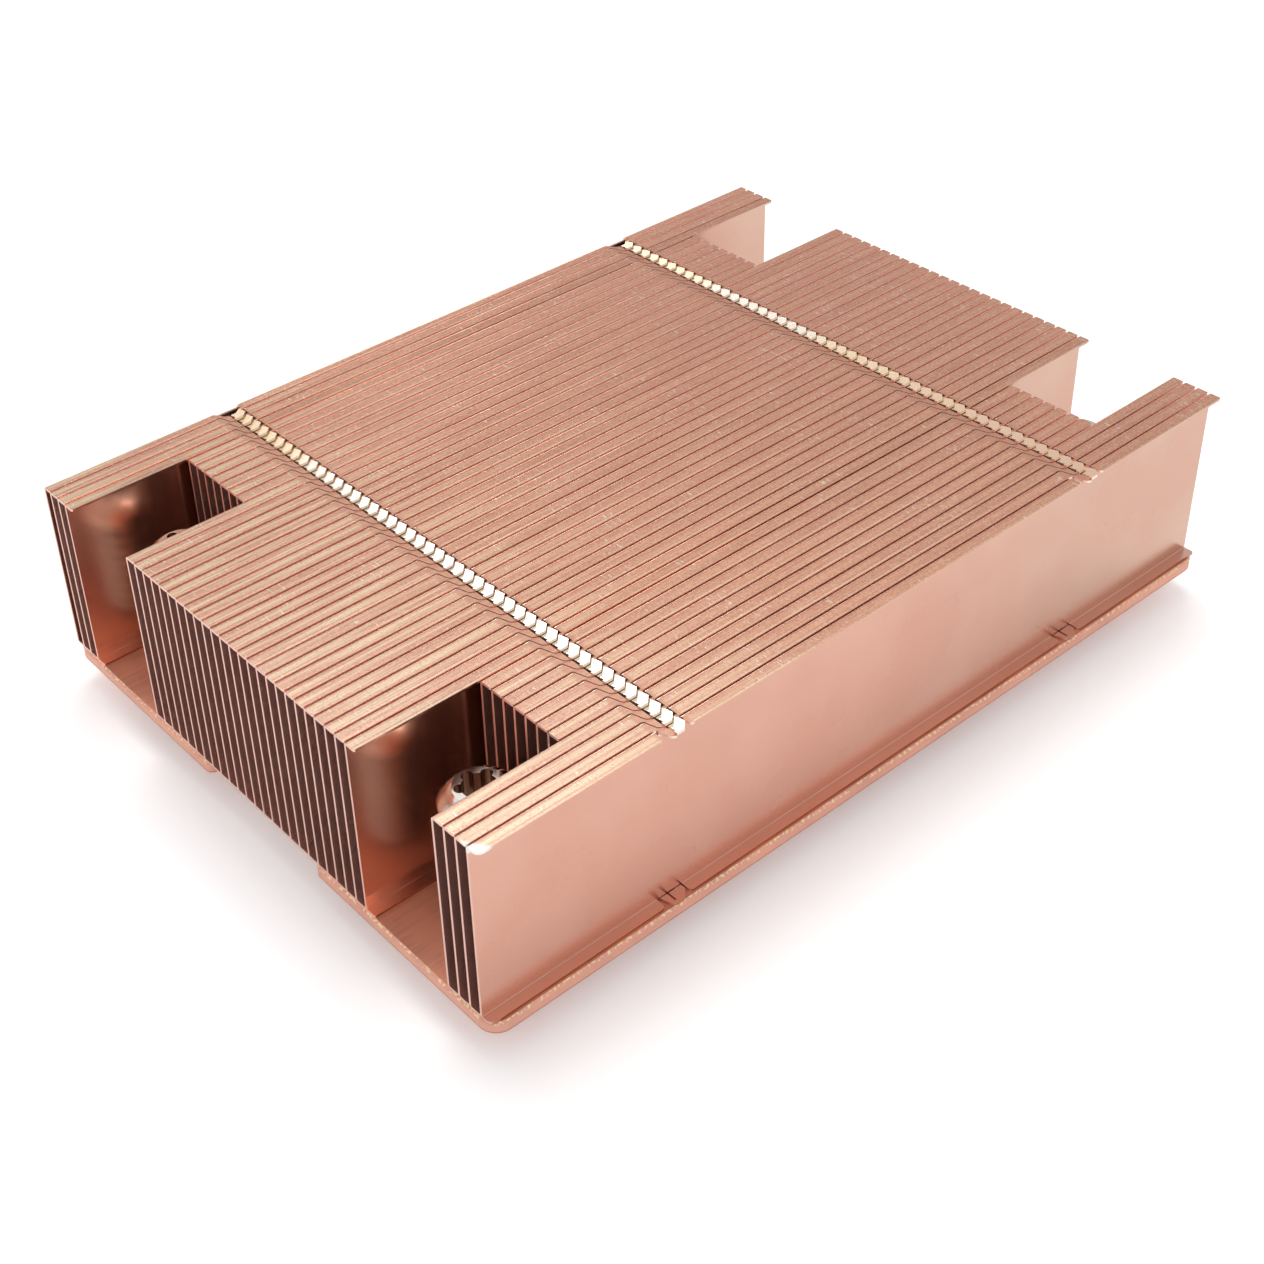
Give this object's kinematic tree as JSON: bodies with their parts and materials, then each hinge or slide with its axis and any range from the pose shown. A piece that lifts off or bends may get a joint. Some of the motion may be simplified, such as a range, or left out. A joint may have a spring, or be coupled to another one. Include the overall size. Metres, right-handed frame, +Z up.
{
  "type": "passive server cpu heatsink",
  "caption": "Low copper heatsink of folded interlocked fins on a thin base plate, notched at its corners for captive sprung mounting screws.",
  "frame": {"origin": "middle of the base plate's underside, the face that meets the processor", "axes": "+X across the fins, towards their open flanges; +Y along the fins and the air flow; +Z up, away from the processor"},
  "size_m": [0.082, 0.1138, 0.0287],
  "materials": {
    "fin_copper": "bright rolled copper sheet",
    "plate_copper": "satin copper plate",
    "screw_steel": "nickel plated steel",
    "ring_steel": "spring steel",
    "spring_steel": "plated spring wire"
  },
  "bodies": {
    "heatsink": {"base_plate": "plate_copper", "fin_01": "fin_copper", "fin_02": "fin_copper", "fin_03": "fin_copper", "fin_04": "fin_copper", "fin_05": "fin_copper", "fin_06": "fin_copper", "fin_07": "fin_copper", "fin_08": "fin_copper", "fin_09": "fin_copper", "fin_10": "fin_copper", "fin_11": "fin_copper", "fin_12": "fin_copper", "fin_13": "fin_copper", "fin_14": "fin_copper", "fin_15": "fin_copper", "fin_16": "fin_copper", "fin_17": "fin_copper", "fin_18": "fin_copper", "fin_19": "fin_copper", "fin_20": "fin_copper", "fin_21": "fin_copper", "fin_22": "fin_copper", "fin_23": "fin_copper", "fin_24": "fin_copper", "fin_25": "fin_copper", "fin_26": "fin_copper", "fin_27": "fin_copper", "fin_28": "fin_copper", "fin_29": "fin_copper", "fin_30": "fin_copper", "fin_31": "fin_copper", "fin_32": "fin_copper", "fin_33": "fin_copper", "fin_34": "fin_copper", "fin_35": "fin_copper", "fin_36": "fin_copper", "fin_37": "fin_copper", "fin_38": "fin_copper", "fin_39": "fin_copper", "fin_40": "fin_copper", "fin_41": "fin_copper", "fin_42": "fin_copper", "fin_43": "fin_copper", "fin_44": "fin_copper", "fin_45": "fin_copper", "fin_46": "fin_copper", "fin_47": "fin_copper"},
    "carrier_front_left": {"retaining_ring_front_left": "ring_steel", "spring_front_left": "spring_steel"},
    "screw_front_left": {"screw_front_left": "screw_steel"},
    "carrier_front_right": {"retaining_ring_front_right": "ring_steel", "spring_front_right": "spring_steel"},
    "screw_front_right": {"screw_front_right": "screw_steel"},
    "carrier_back_left": {"retaining_ring_back_left": "ring_steel", "spring_back_left": "spring_steel"},
    "screw_back_left": {"screw_back_left": "screw_steel"},
    "carrier_back_right": {"retaining_ring_back_right": "ring_steel", "spring_back_right": "spring_steel"},
    "screw_back_right": {"screw_back_right": "screw_steel"}
  },
  "joints": [
    {"name": "press_front_left", "type": "slide", "parent": "heatsink", "child": "carrier_front_left", "axis": [0, 0, 1], "range_m": [-0.0045, 0], "stiffness_N_per_m": 3000, "deforming": ["spring_front_left"]},
    {"name": "turn_front_left", "type": "hinge", "parent": "carrier_front_left", "child": "screw_front_left", "pos_m": [-0.028, -0.047, 0], "axis": [0, 0, 1], "continuous": true},
    {"name": "press_front_right", "type": "slide", "parent": "heatsink", "child": "carrier_front_right", "axis": [0, 0, 1], "range_m": [-0.0045, 0], "stiffness_N_per_m": 3000, "deforming": ["spring_front_right"]},
    {"name": "turn_front_right", "type": "hinge", "parent": "carrier_front_right", "child": "screw_front_right", "pos_m": [0.028, -0.047, 0], "axis": [0, 0, 1], "continuous": true},
    {"name": "press_back_left", "type": "slide", "parent": "heatsink", "child": "carrier_back_left", "axis": [0, 0, 1], "range_m": [-0.0045, 0], "stiffness_N_per_m": 3000, "deforming": ["spring_back_left"]},
    {"name": "turn_back_left", "type": "hinge", "parent": "carrier_back_left", "child": "screw_back_left", "pos_m": [-0.028, 0.047, 0], "axis": [0, 0, 1], "continuous": true},
    {"name": "press_back_right", "type": "slide", "parent": "heatsink", "child": "carrier_back_right", "axis": [0, 0, 1], "range_m": [-0.0045, 0], "stiffness_N_per_m": 3000, "deforming": ["spring_back_right"]},
    {"name": "turn_back_right", "type": "hinge", "parent": "carrier_back_right", "child": "screw_back_right", "pos_m": [0.028, 0.047, 0], "axis": [0, 0, 1], "continuous": true}
  ]
}
